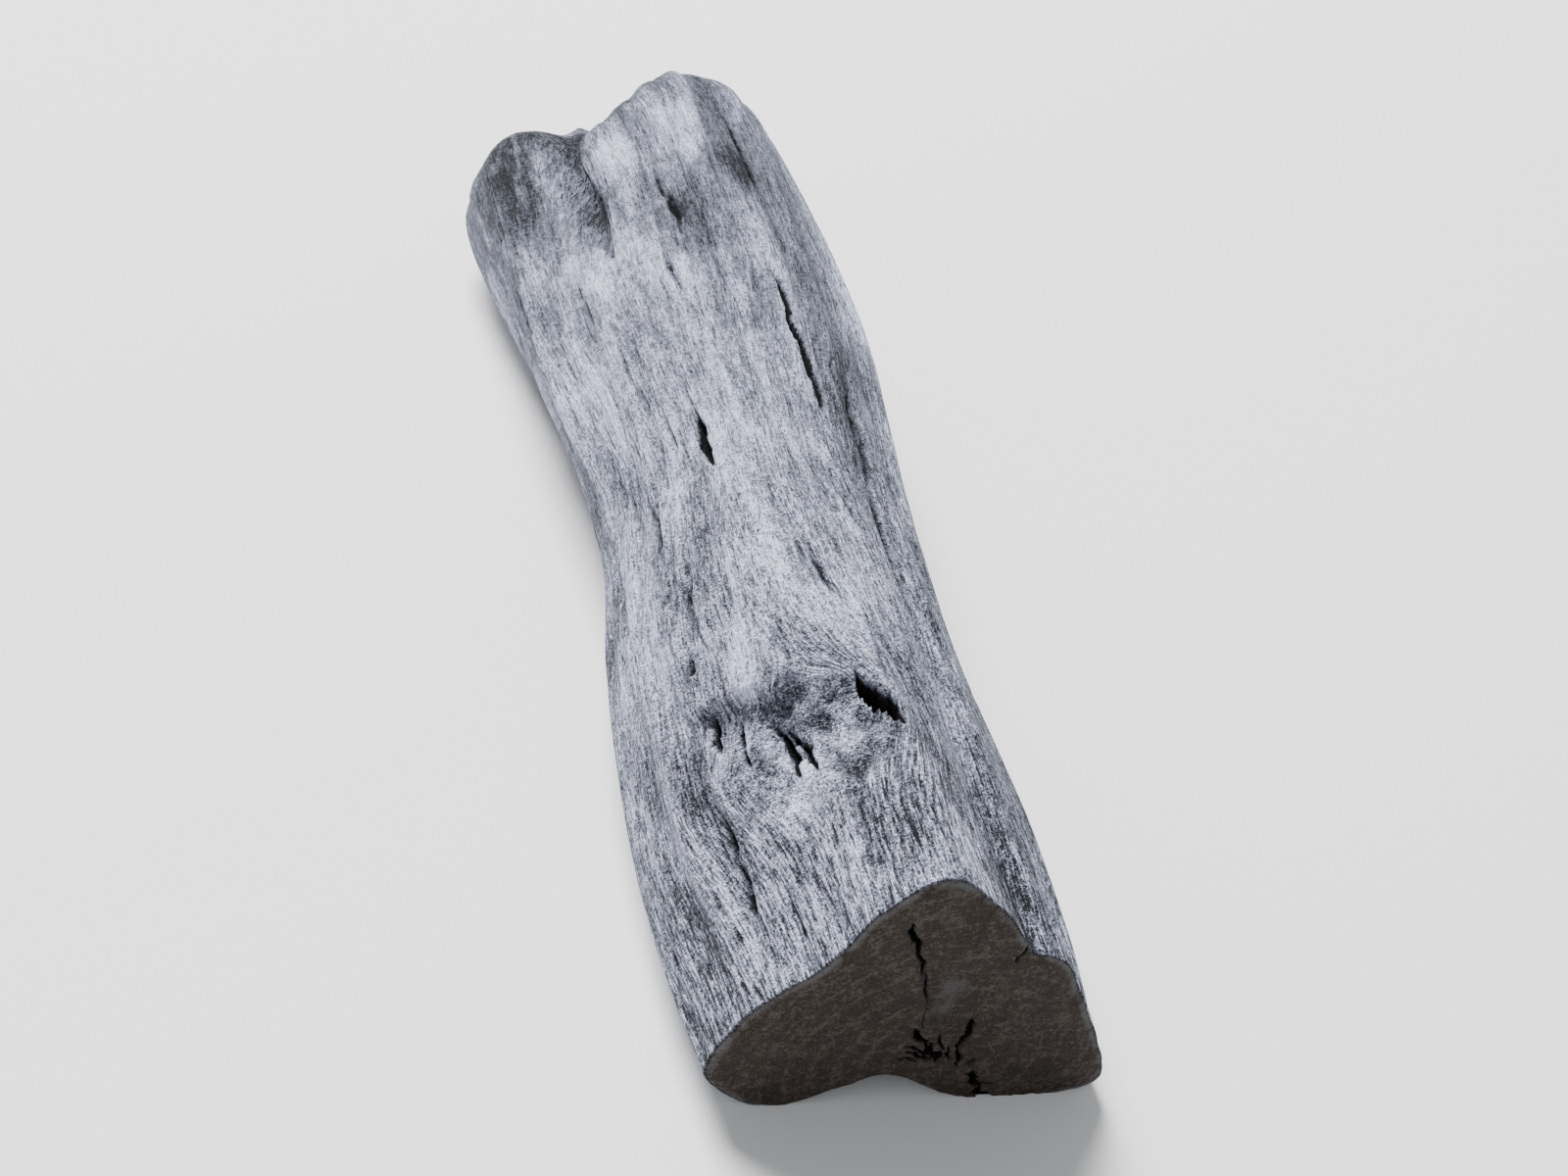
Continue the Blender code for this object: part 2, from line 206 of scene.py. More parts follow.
# %% [markdown]
# ## Grain
# The fibres run along the stick, and part round the knot like water round a stone. The same rule, the
# flow round a round post, gives each point its grain line. Everything that follows the fibres, such as
# ridges, hair cracks and the streaks of the finish, is drawn in these grain lines.

# %% Grain lines that part round the knot
KNOT_AT = (7.1, 30.5)
KNOT_HALF = (12.0, 9.5)      # across and along, in millimetres
STONE = 0.68                 # size of the stone in the water, as a share of the knot
KNOT_FRONT = 0.72            # the rough patch reaches further towards the cut face
KNOT_FADE = (0.7, 1.15)
NOISE_START = 20             # noise cells kept before the cut face
knot_across = rib_gap(rib[None, :], KNOT_AT[0]) * RIB_GAP / KNOT_HALF[0]
knot_along = (along - KNOT_AT[1]) / KNOT_HALF[1]
parting = 1.0 - (STONE / np.maximum(np.hypot(knot_across, knot_along), STONE)) ** 2
grain_line = KNOT_AT[0] + knot_across * KNOT_HALF[0] * parting / RIB_GAP
in_front = np.where(knot_along < 0, KNOT_FRONT, 1.0)
in_knot = 1.0 - smooth_step(*KNOT_FADE, np.hypot(knot_across, knot_along * in_front))


def noise(line, run, around, seed, rows=400):
    """Smooth noise between -1 and 1 that closes round the stick: line in ribs, run in its own cells."""
    table = np.random.default_rng(seed).uniform(-1.0, 1.0, (rows, around))
    across = line / RIBS * around
    left = np.floor(across).astype(int)
    low = np.floor(run).astype(int)
    fx = smooth_step(0.0, 1.0, across - left)
    fy = smooth_step(0.0, 1.0, run - low)
    left, right = left % around, (left + 1) % around
    low, high = (low + NOISE_START) % rows, (low + NOISE_START + 1) % rows
    near = table[low, left] * (1 - fx) + table[low, right] * fx
    far = table[high, left] * (1 - fx) + table[high, right] * fx
    return near * (1 - fy) + far * fy


print("the knot's own patch holds", int((in_knot > 0.5).sum()), "points")

# %% [markdown]
# ## Relief
# Relief is how far each point stands out from the outlines, in millimetres. It is a sum of simple
# things: broad swellings and flutes, the crease of the fork, rounded fibres with sharp grooves between
# them, splits that opened as the wood shrank, the scar of the knot, and pits.

# %% Swellings, flutes and the fork's crease
# Each swelling is its rib, place along, width in ribs, length, and how far it pushes out.
SWELLINGS = (
    (6.9, 44.0, 1.7, 9.0, 1.3), (7.2, 28.5, 1.1, 6.5, -1.9), (8.4, 37.0, 0.5, 5.0, -0.8),
    (5.3, 24.0, 0.6, 9.0, 0.7), (3.9, 34.0, 0.35, 44.0, -0.9), (8.9, 16.0, 0.4, 16.0, -0.7),
    (8.45, 66.0, 0.35, 22.0, -0.7), (4.6, 118.0, 0.5, 22.0, -0.8), (5.6, 150.0, 1.2, 30.0, 0.6),
    (0.7, 100.0, 0.9, 50.0, -0.8), (1.8, 150.0, 0.7, 28.0, 0.8), (10.9, 120.0, 0.8, 36.0, -0.9),
    (11.6, 66.0, 0.7, 20.0, 0.8), (13.6, 100.0, 0.9, 45.0, -1.0), (15.4, 140.0, 0.7, 30.0, 0.6),
)
# Each flute is the number of waves round the stick, their height, a turn and a twist along.
FLUTES = ((9, 0.36, 0.4, 0.029), (14, 0.30, 2.1, -0.021), (23, 0.24, 1.3, 0.017))
CREASE = np.array(((146.0, 7.85), (165.0, 8.15), (178.0, 8.45), (190.0, 8.65), (208.0, 8.7)))
CREASE_FULL = 192.0
CREASE_WIDTH = 0.4
CREASE_DEPTH = 4.8
FOLD_WIDTH = 0.14            # a sharper fold at the bottom of the crease
FOLD_DEPTH = 1.8
FORM_FADE = (-6.0, 10.0)     # the form fades in along the first millimetres, so the face keeps its outline

off_crease = rib_gap(rib[None, :], np.interp(along, CREASE[:, 0], CREASE[:, 1]))
crease = CREASE_DEPTH * bell(off_crease, CREASE_WIDTH) + FOLD_DEPTH * bell(off_crease, FOLD_WIDTH)
crease = crease * smooth_step(CREASE[0, 0], CREASE_FULL, along)
form = -crease
for at_rib, at, width, length, push in SWELLINGS:
    form = form + push * bell(rib_gap(rib[None, :], at_rib), width) * bell(along - at, length)
for waves, flute, turn, twist in FLUTES:
    form = form + flute * np.cos(2 * np.pi * waves * rib[None, :] / RIBS + turn + twist * along)
form = form * smooth_step(*FORM_FADE, along)
print("the form stands out", round(float(form.max()), 2), "mm and sinks",
      round(float(-form.min()), 2), "mm")

# %% [markdown]
# The fibres are noise drawn out along the grain lines, in three finenesses. Where coarse or middling
# noise crosses zero there is a sharp groove, but only in patches, because the surface is worn.

# %% Fibres
COARSE_GROOVE = (0.34, 0.16)      # depth, and width as a height of the noise
MIDDLING_GROOVE = (0.26, 0.2)
FIBRES_IN_KNOT = 0.2


def groove(value, width):
    """1 in the middle of a groove, where the noise crosses zero, and 0 on the fibres between."""
    return np.clip(1.0 - np.abs(value) / width, 0.0, 1.0) ** 1.5


coarse = noise(grain_line, along / 26.0, 62, 11)
middling = noise(grain_line, along / 15.0, 118, 12)
slender = noise(grain_line, along / 9.0, 230, 13)
fibres = 0.16 * coarse + 0.13 * middling + 0.10 * slender
coarse_patches = smooth_step(-0.1, 0.5, noise(grain_line, along / 30.0, 17, 14))
middling_patches = smooth_step(-0.2, 0.5, noise(grain_line, along / 22.0, 29, 15))
fibres = fibres - COARSE_GROOVE[0] * groove(coarse, COARSE_GROOVE[1]) * coarse_patches
fibres = fibres - MIDDLING_GROOVE[0] * groove(middling, MIDDLING_GROOVE[1]) * middling_patches
fibres = fibres * (1.0 - (1.0 - FIBRES_IN_KNOT) * in_knot)
print("fibres and grooves reach from", round(float(fibres.min()), 2), "to",
      round(float(fibres.max()), 2), "mm")

# %% [markdown]
# A split is drawn as a line on the skin from one place to another. It is widest in the middle, comes to
# a point at both ends, and its walls fall steeply to a sharp bottom. A worn groove is the same line,
# shallow and broken up by noise into a string of pits. The photo shows the lines of the upper side.
# Those of the hidden sides are guessed.

# %% Where the splits, worn grooves and knot cracks are
# Each line is its start and end as (rib, along), its width and its depth.
SPLITS = (
    ((4.44, 99.0), (4.82, 131.0), 3.7, 4.6), ((4.76, 121.0), (4.93, 142.0), 1.9, 2.6),
    ((7.27, 87.0), (7.35, 103.5), 2.3, 3.0), ((7.33, 102.0), (7.37, 113.0), 1.0, 0.9),
    ((2.3, 150.0), (2.45, 186.0), 1.9, 2.4), ((1.5, 96.0), (1.62, 138.0), 1.9, 2.4),
    ((0.75, 40.0), (0.9, 74.0), 1.6, 2.0), ((10.6, 92.0), (10.9, 132.0), 1.8, 2.4),
    ((11.2, 52.0), (11.3, 78.0), 1.6, 1.8), ((13.9, 66.0), (14.1, 124.0), 2.4, 3.2),
    ((15.5, 128.0), (15.6, 160.0), 1.8, 2.0), ((12.6, 150.0), (12.8, 172.0), 1.6, 2.0),
)
GROOVES = (
    ((6.42, 153.0), (6.62, 176.0), 2.4, 1.5), ((6.86, 131.0), (6.9, 152.0), 2.0, 1.1),
    ((5.95, 46.0), (6.2, 64.0), 1.9, 1.5), ((6.2, 50.0), (6.36, 66.0), 1.5, 1.1),
    ((5.85, 46.0), (5.05, 36.0), 1.3, 0.8), ((8.62, 45.5), (8.3, 53.0), 1.8, 1.1),
    ((8.34, 51.0), (8.02, 68.0), 2.3, 1.6), ((8.45, 68.0), (8.74, 92.0), 1.8, 1.1),
    ((8.62, 130.0), (8.76, 148.0), 1.6, 1.0), ((9.05, 84.0), (9.3, 97.0), 1.5, 0.8),
    ((3.7, 88.0), (3.6, 116.0), 2.4, 1.7), ((3.72, 90.0), (4.15, 56.0), 2.8, 2.2),
    ((4.2, 57.0), (4.12, 18.0), 2.6, 2.0), ((8.82, 28.0), (9.05, 7.0), 2.4, 1.5),
    ((8.3, 13.0), (8.25, 5.0), 1.3, 0.8), ((7.7, 9.0), (7.66, 4.5), 1.0, 0.7),
    ((4.5, 194.0), (4.4, 160.0), 2.6, 1.5), ((8.2, 164.0), (7.9, 147.0), 2.4, 0.9),
    ((9.6, 60.0), (9.9, 88.0), 1.8, 1.1), ((5.0, 72.0), (5.1, 92.0), 1.4, 0.7),
    ((6.85, 12.5), (6.66, 4.0), 1.2, 0.5), ((4.7, 22.0), (4.55, 8.0), 1.6, 0.8),
)
KNOT_CRACKS = (
    ((7.66, 36.0), (7.5, 24.0), 1.5, 2.4), ((7.52, 34.2), (7.3, 28.0), 1.2, 2.2),
    ((7.34, 30.5), (7.26, 22.8), 1.2, 2.2), ((7.42, 29.4), (7.1, 30.2), 0.9, 1.4),
    ((8.48, 42.4), (8.64, 35.0), 1.4, 2.0), ((8.12, 39.6), (8.34, 31.0), 1.3, 2.0),
    ((6.95, 27.5), (6.82, 20.5), 0.9, 0.8),
)
KNOT_HOLE = ((6.2, 35.6), (5.66, 26.0), 2.4, 6.5)
print(len(SPLITS), "splits,", len(GROOVES), "worn grooves and", len(KNOT_CRACKS), "knot cracks")

# %% How a split is drawn
WOBBLE = 0.35
SLIGHT_WOBBLE = 0.3


def along_line(start, end):
    """How far each point of the skin is along a line and to its side, in shares of it and millimetres."""
    east = rib_gap(rib[None, :], start[0]) * RIB_GAP
    north = along - start[1]
    run = np.array(((end[0] - start[0]) * RIB_GAP, end[1] - start[1]))
    length = np.hypot(*run)
    return (east * run[0] + north * run[1]) / length ** 2, (east * run[1] - north * run[0]) / length


def split(start, end, width, depth, wobble=WOBBLE, seed=0, steepness=0.8):
    """The depth of a split at each point of the skin."""
    t, side = along_line(start, end)
    turns = np.random.default_rng(seed).uniform(0.0, 2 * np.pi, 2)
    bends = np.sin(2.3 * np.pi * t + turns[0]) + 0.6 * np.sin(6 * np.pi * t + turns[1])
    side = side + wobble * width * 0.4 * bends
    taper = np.clip(np.sin(np.pi * np.clip(t, 0.0, 1.0)), 0.0, 1.0) ** 0.7
    half = np.maximum(width / 2 * taper, 1e-6)
    return depth * taper * np.clip(1.0 - np.abs(side) / half, 0.0, 1.0) ** steepness


print("the longest split is", max(round(end[1] - start[1], 1) for start, end, *_ in SPLITS), "mm long")

# %% Splits with raised lips, and worn grooves
LIP = 0.5                    # height of the raised lips, in millimetres
LIP_MARGIN = 2.4             # how much wider than the crack they are
lips = np.zeros_like(form)
broken = 0.95 + 0.65 * noise(grain_line, along / 2.2, 190, 31)
broken = np.clip(broken + 0.35 * noise(grain_line, along / 6.0, 120, 32), 0.3, 1.3)
cracks = np.zeros_like(form)
for number, (start, end, width, depth) in enumerate(SPLITS + KNOT_CRACKS):
    cracks = np.maximum(cracks, split(start, end, width, depth, seed=number))
    worn = LIP if number >= len(SPLITS) else LIP / 3
    wide = width + LIP_MARGIN
    lips = np.maximum(lips, split(start, end, wide, worn, wobble=WOBBLE * width / wide, seed=number))
cracks = np.maximum(cracks, split(*KNOT_HOLE, wobble=SLIGHT_WOBBLE, seed=41, steepness=0.7))
for number, line in enumerate(GROOVES):
    cracks = np.maximum(cracks, 0.9 * broken * split(*line, wobble=SLIGHT_WOBBLE, seed=100 + number))
print("the deepest is", round(float(cracks.max()), 1), "mm deep")

# %% [markdown]
# Hair cracks are fine, short splits all over the skin, more than anyone would place by hand. A seeded
# draw scatters them along the grain, so the stick is the same each time. The knot and the far end
# have none, because their wood has no long fibres.

# %% Hair cracks
HAIR_CRACKS = 320
HAIR_SEED = 5
HAIR_PLACES = (2.0, 198.0)      # millimetres along, where they begin
HAIR_LENGTHS = (4.0, 20.0)
HAIR_WIDTHS = (0.7, 1.2)
HAIR_DEPTHS = (0.3, 0.8)
HAIR_LEAN = 0.04                # how far they stray to the side, in ribs
HAIR_WOBBLE = 0.7
draw = np.random.default_rng(HAIR_SEED)
hairs = np.zeros_like(form)
for _ in range(HAIR_CRACKS):
    at = draw.uniform(0.0, RIBS)
    begin = draw.uniform(*HAIR_PLACES)
    length = draw.uniform(*HAIR_LENGTHS)
    hair = split((at, begin), (at + draw.normal(0.0, HAIR_LEAN), begin + length),
                 draw.uniform(*HAIR_WIDTHS), draw.uniform(*HAIR_DEPTHS), wobble=HAIR_WOBBLE,
                 seed=draw.integers(1000))
    hairs = np.maximum(hairs, hair)
cracks = np.maximum(cracks, hairs * (1 - in_knot)) * (1 - on_end)
print("splits cover", round(100 * float((cracks > 0.2).mean()), 1), "percent of the skin")

# %% [markdown]
# The knot is the scar of a branch that the tree had begun to close over. Behind it the healed wood
# bulges in a smooth brow that ends in a low ledge, and in front of it the old stub is a rough, lumpy
# patch with short cracks. The ledge is a line of (rib, along), and the wood drops in front of it.

# %% The knot's brow
BROW = ((8.6, 42.2), (7.9, 40.2), (7.4, 37.6), (6.85, 35.8), (6.35, 34.9), (5.9, 33.4))
BROW_DROP = 1.7
BROW_STARTS = (5.8, 6.3)
BROW_ENDS = (8.5, 9.0)
brow_ribs, brow_along = np.array(BROW[::-1]).T
every_rib = rib[None, :] + 0 * along
brow_span = (smooth_step(*BROW_STARTS, rib) * (1 - smooth_step(*BROW_ENDS, rib)))[None, :]
brow_at = np.interp(rib, brow_ribs, brow_along)[None, :] + 0.9 * noise(every_rib, 0.5 + 0 * along, 60, 24)
below = brow_at - along
under_brow = smooth_step(-0.6, 0.5, below) * (1 - smooth_step(2.0, 12.0, below)) * brow_span
# brow_shade is a band just in front of the ledge that the finish darkens: painted shadow under the brow.
brow_shade = smooth_step(-0.2, 0.6, below) * (1 - smooth_step(0.6, 6.0, below)) * brow_span
print("the brow is", round(float(np.ptp(brow_along)), 1), "mm from its near end to its far end")

# %% [markdown]
# Three sizes of noise make the lumps of the old stub. Short ticks across the grain are scratches.

# %% The knot's lumps and the scratches
TICKS = (
    ((6.3, 81.0), (6.75, 80.0)), ((6.1, 88.0), (6.6, 90.5)), ((6.85, 91.0), (7.2, 89.5)),
    ((6.5, 84.5), (6.8, 85.0)), ((7.6, 70.0), (8.0, 68.5)), ((5.5, 78.0), (5.9, 76.0)),
    ((7.9, 45.5), (8.3, 43.8)), ((7.6, 47.0), (8.1, 44.6)),
)
TICK_WIDTH, TICK_DEPTH = 1.5, 0.35
in_scar = in_knot * (1 - (1 - smooth_step(-0.5, 0.6, below)) * brow_span)
lumps = 0.95 * noise(every_rib, along / 3.2, 46, 21) + 0.7 * noise(every_rib, along / 1.9, 84, 22)
lumps = in_scar * (lumps + 0.25 * noise(every_rib, along / 1.1, 150, 23)) - BROW_DROP * under_brow
ticks = np.zeros_like(form)
for number, (start, end) in enumerate(TICKS):
    ticks = np.maximum(ticks, split(start, end, TICK_WIDTH, TICK_DEPTH, seed=200 + number))
print("the wood drops", round(float(-lumps.min()), 2), "mm under the brow")

# %% [markdown]
# ## Where every point is
# Now each ring gets its outline, and each point its relief, which moves it along its spoke from the
# middle of the ring. The far end isn't cut square: it reaches further where the fork's long arm is,
# and its surface is torn. The stick lies on its lowest places, which are worn flat.

# %% Places across and along the stick
FACE_MIDDLE = np.array((6.0, 16.0))
FACE_DEPTH_OF_HEART = 40.0      # how far along the spokes still start from the face's middle
SETTLE = 0.7                    # how far the stick sinks, so its lowest places are flat
CHIP_DEPTH = 0.14
END_REACH = np.array([(-36, -4.0), (-26, 0.5), (-17, -0.5), (-11, 5.0), (-4, 8.5), (1, 13.0), (8, 14.5),
                      (18, 12.0), (29, 5.0)])
REACH_STARTS = 150.0
EDGE_FADE = (-0.5, 2.0)
edge_fade = smooth_step(*EDGE_FADE, along)
chips = np.clip(noise(every_rib, along / 1.5, 150, 41), 0.0, 1.0) * bell(along - 0.4, 1.1)
side_relief = form + (fibres + lumps + lips) * edge_fade - cracks - ticks - CHIP_DEPTH * chips

places = np.zeros((len(stops), columns, 3))
for ring, (at, reach_out) in enumerate(stops):
    middle = outline(at).mean(axis=0)
    t = float(smooth_step(0.0, FACE_DEPTH_OF_HEART, at))
    centre = FACE_MIDDLE * (1 - t) + middle * t
    spokes = round_curve(outline(at), rib) - centre
    reach = np.hypot(*spokes.T)[:, None]
    moved = spokes * (1 + (form if on_face[ring] else side_relief)[ring][:, None] / reach)
    across = centre + reach_out * moved
    last = np.clip(np.searchsorted(END_REACH[:, 0], across[:, 0]), 1, len(END_REACH) - 1)
    (near, low), (far, high) = END_REACH[last - 1].T, END_REACH[last].T
    beyond = low + (high - low) * smooth_step(near, far, across[:, 0])
    places[ring, :, 0] = across[:, 0]
    places[ring, :, 1] = at + beyond * smooth_step(REACH_STARTS, LAST_OUTLINE, at)
    places[ring, :, 2] = np.maximum(across[:, 1] - SETTLE, 0.0)
print(places.shape[0] * places.shape[1], "points have their places")

# %% The torn far end
def rough(cell, seed):
    """Noise over the plane across the stick, with lumps of one size in millimetres."""
    return noise((places[:, :, 0] + 50.0) / 100.0 * RIBS, places[:, :, 2] / cell, round(100 / cell), seed)


torn = 0.9 * rough(8.0, 61) + 0.7 * rough(3.4, 62) + 0.4 * rough(1.5, 63)
places[:, :, 1] += on_end * torn
print("the fine piece is", [round(float(side), 1) for side in np.ptp(places.reshape(-1, 3), axis=0)], "mm")

# %% [markdown]
# ## The cut face
# The face is flat and cut square across, with fine growth rings. Its drying cracks start at the pith,
# low and right of the middle. They are drawn like the splits, but on the face's own plane, as
# (right, up) in millimetres.

# %% Cracks of the cut face
PITH = np.array((10.8, 9.6))
FACE_CRACKS = (
    ((9.3, 9.3), (6.2, 13.4), 1.5, 3.0), ((6.6, 12.6), (3.2, 16.8), 1.0, 2.4),
    ((8.4, 10.8), (2.9, 13.2), 0.7, 1.6), ((9.2, 9.5), (3.2, 11.9), 0.75, 1.8),
    ((6.4, 9.8), (2.6, 10.5), 0.6, 1.2), ((12.4, 8.0), (11.1, 12.4), 0.7, 1.8),
    ((11.0, 11.6), (11.5, 18.8), 0.9, 2.2), ((9.2, 11.2), (7.2, 15.8), 0.5, 0.9),
    ((10.6, 9.2), (9.5, 12.6), 0.55, 1.0), ((13.8, 7.8), (14.1, 10.2), 0.5, 0.8),
    ((15.0, 5.8), (15.8, 7.6), 0.5, 0.8), ((17.2, 4.1), (19.4, 3.7), 0.5, 0.8),
    ((13.2, 8.6), (16.0, 9.8), 0.45, 0.7), ((-0.8, 32.4), (1.4, 27.6), 0.7, 1.2),
    ((1.2, 28.4), (3.6, 21.5), 0.5, 0.6), ((-0.6, 31.6), (-4.0, 38.4), 0.9, 2.2),
    ((12.6, 30.2), (13.4, 33.4), 0.7, 1.2), ((14.3, 6.6), (17.4, 2.8), 1.1, 3.0),
    ((17.0, 3.2), (20.2, -2.0), 1.4, 4.5), ((3.3, 22.6), (4.9, 15.2), 0.4, 0.45),
)
flat = places[:, :, [0, 2]] + np.array((0.0, SETTLE))


def face_split(start, end, width, depth, seed=0):
    """The depth of a crack in the cut face, from one (right, up) to another."""
    start, end = np.array(start), np.array(end)
    run = end - start
    length = np.hypot(*run)
    t = ((flat - start) @ run) / length ** 2
    side = ((flat - start) @ np.array((run[1], -run[0]))) / length
    turns = np.random.default_rng(seed).uniform(0.0, 2 * np.pi, 2)
    side = side + 0.3 * width * (np.sin(3 * np.pi * t + turns[0]) + 0.4 * np.sin(8 * np.pi * t + turns[1]))
    taper = np.clip(np.sin(np.pi * np.clip(t, 0.0, 1.0)), 0.0, 1.0) ** 0.6
    half = np.maximum(width / 2 * taper, 1e-6)
    return depth * taper * np.clip(1.0 - np.abs(side) / half, 0.0, 1.0) ** 0.7


face_cracks = np.zeros_like(form)
for number, crack in enumerate(FACE_CRACKS):
    face_cracks = np.maximum(face_cracks, face_split(*crack, seed=60 + number))
print(len(FACE_CRACKS), "cracks, up to", round(float(face_cracks.max()), 1), "mm deep")

# %% [markdown]
# The wood to the right of the long crack sits a little deeper, behind a low step. The growth rings are
# shallow noise that changes with the distance from the pith. Two patches at the lower edge crumbled
# into grains, and the rim is slightly rounded.

# %% Step, rings, grains and rim of the cut face
STEP_AT = np.array((4.6, 20.0))
STEP_WAY = np.array((12.4, 6.0))      # across the long crack
STEP_DEPTH = 0.5
GRAINS = (((12.5, 1.8), (6.5, 2.6), 1.0), ((27.0, 1.5), (6.0, 2.6), 0.6))
GRAIN_HEIGHT = 0.35
RIM_DEPTH = 0.25
from_pith = flat - PITH
pith_far = np.hypot(from_pith[:, :, 0], from_pith[:, :, 1])
pith_way = np.arctan2(from_pith[:, :, 1], from_pith[:, :, 0]) / (2 * np.pi) * RIBS
off_step = (flat - STEP_AT) @ STEP_WAY / np.hypot(*STEP_WAY)
step = STEP_DEPTH * smooth_step(-0.5, 0.3, off_step) * (1 - smooth_step(2.0, 10.0, off_step))
step = step * smooth_step(13.0, 18.0, flat[:, :, 1]) * (1 - smooth_step(28.0, 34.0, flat[:, :, 1]))
rings = 0.05 * noise(pith_way, pith_far / 1.1, 5, 51) + 0.03 * noise(pith_way, pith_far / 6.0, 260, 52)
grainy = np.zeros_like(form)
for grains_at, grains_size, share in GRAINS:
    off_grains = np.hypot(*np.moveaxis((flat - grains_at) / grains_size, 2, 0))
    grainy = np.maximum(grainy, share * bell(off_grains, 1.0))
grains = grainy * (GRAIN_HEIGHT * noise(every_rib, pith_far / 0.8, 170, 53))
rim = smooth_step(0.9, 1.0, stops[:, 1])[:, None] * on_face[:, None]
face_depth = face_cracks + step + rings + grains + RIM_DEPTH * rim ** 2
face_depth = np.maximum(face_depth, 0.0) * on_face[:, None]
places[:, :, 1] += face_depth
print("the deepest crack of the cut face is", round(float(face_depth.max()), 1), "mm")

# %% [markdown]
# ## The piece
# Now the ball is made and each of its points is moved to its place. The whole piece is then stretched
# by a hair on each axis, so that it fills the box of the frame's solid exactly. A cut stick could also
# be sculpted or displaced by a modifier, but moved points can be checked against the solid in numbers.

# %% Make the ball and find each point's ring and column
ball = bmesh.new()
bmesh.ops.create_uvsphere(ball, u_segments=columns, v_segments=len(stops) + 1, radius=1.0)
mesh = bpy.data.meshes.new("fine_stick")
ball.to_mesh(mesh)
ball.free()

count = len(mesh.vertices)
corners = np.zeros(count * 3)
mesh.vertices.foreach_get("co", corners)
corners = corners.reshape(-1, 3)
ring_of = np.rint(np.arccos(np.clip(corners[:, 2], -1, 1)) / np.pi * (len(stops) + 1)).astype(int) - 1
column_of = np.rint(np.arctan2(corners[:, 1], corners[:, 0]) / (2 * np.pi) * columns).astype(int) % columns
front_pole, back_pole = ring_of < 0, ring_of >= len(stops)
ring_of = np.clip(ring_of, 0, len(stops) - 1)


def spread(values):
    """Values of the grid of rings and columns, one for each point of the mesh."""
    found = values[ring_of, column_of]
    found[front_pole] = values[0].mean(axis=0)
    found[back_pole] = values[-1].mean(axis=0)
    return found


print("the ball has", count, "points")

# %% Move the points to their places
raw = spread(places)
raw_low = raw.min(axis=0)
fit = (np.array(node_high) - np.array(node_low)) / (raw.max(axis=0) - raw_low)


def in_frame(place):
    """A place in the stick's own millimetres, as a place in the frame, in metres."""
    return np.array(node_low) + (np.array(place) - raw_low) * fit


points = in_frame(raw)
mesh.vertices.foreach_set("co", points.ravel())
mesh.update()
shape = bmesh.new()
shape.from_mesh(mesh)
if shape.calc_volume(signed=True) < 0:
    bmesh.ops.reverse_faces(shape, faces=shape.faces)
shape.to_mesh(mesh)
shape.free()
mesh.shade_smooth()
fine_stick = bpy.data.objects.new("fine_stick", mesh)
bpy.context.scene.collection.objects.link(fine_stick)
print("the points are stretched by", [round(float(f / MM), 4) for f in fit], "to fill the solid's box")
print("fine_stick has", count, "points and", sum(len(p.vertices) - 2 for p in mesh.polygons), "triangles")
